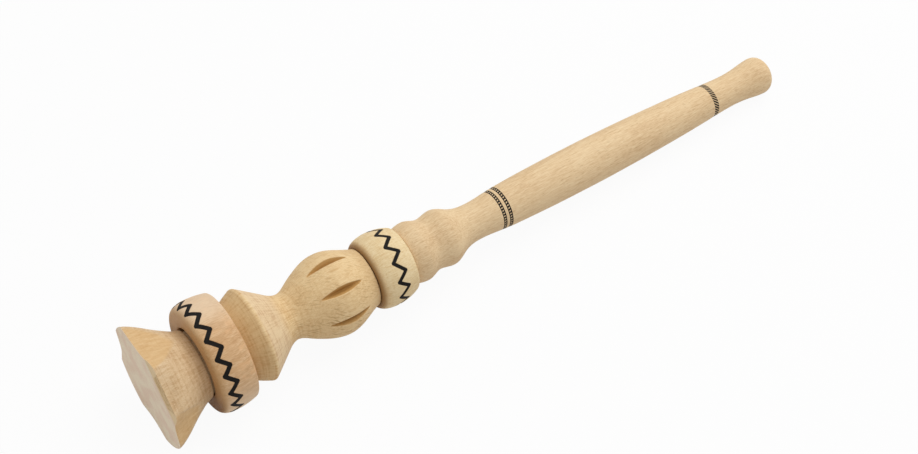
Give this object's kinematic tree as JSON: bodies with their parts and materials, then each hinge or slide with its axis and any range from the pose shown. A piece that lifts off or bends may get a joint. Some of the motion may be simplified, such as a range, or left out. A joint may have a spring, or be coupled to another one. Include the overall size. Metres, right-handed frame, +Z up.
{
  "type": "molinillo whisk",
  "caption": "Turned wooden whisk for frothing hot chocolate: star-shaped foot, loose rings that rattle, slotted bulb, and a long grip with burnt bands ending in a knob.",
  "frame": {"origin": "on the surface the whisk lies on, under the middle of its bounding box", "axes": "+X towards the end of the handle, +Z up; the whisk lies at rest on two points of its foot and its end knob, so its turning axis dips about 3 degrees towards the handle's end"},
  "size_m": [0.3492, 0.0534, 0.0538],
  "materials": {
    "foot_wood": "bare turned hardwood, lightly sanded",
    "lower_ring_wood": "bare pinkish hardwood with a burnt zigzag",
    "head_wood": "bare turned hardwood, lightly sanded",
    "upper_ring_wood": "bare pale hardwood with a burnt zigzag",
    "handle_wood": "bare turned hardwood with burnt bands"
  },
  "bodies": {
    "whisk": {"star_foot": "foot_wood", "head": "head_wood", "handle": "handle_wood"},
    "loose_lower_ring": {"lower_ring": "lower_ring_wood"},
    "loose_upper_ring": {"upper_ring": "upper_ring_wood"}
  },
  "joints": [
    {"name": "lower_ring_spin", "type": "hinge", "parent": "whisk", "child": "loose_lower_ring", "pos_m": [-0.14162, -0.0002, 0.02631], "axis": [0.9987, 0, -0.0503], "continuous": true},
    {"name": "upper_ring_spin", "type": "hinge", "parent": "whisk", "child": "loose_upper_ring", "pos_m": [-0.05448, -0.0002, 0.0204], "axis": [0.9987, 0, -0.0503], "continuous": true}
  ]
}
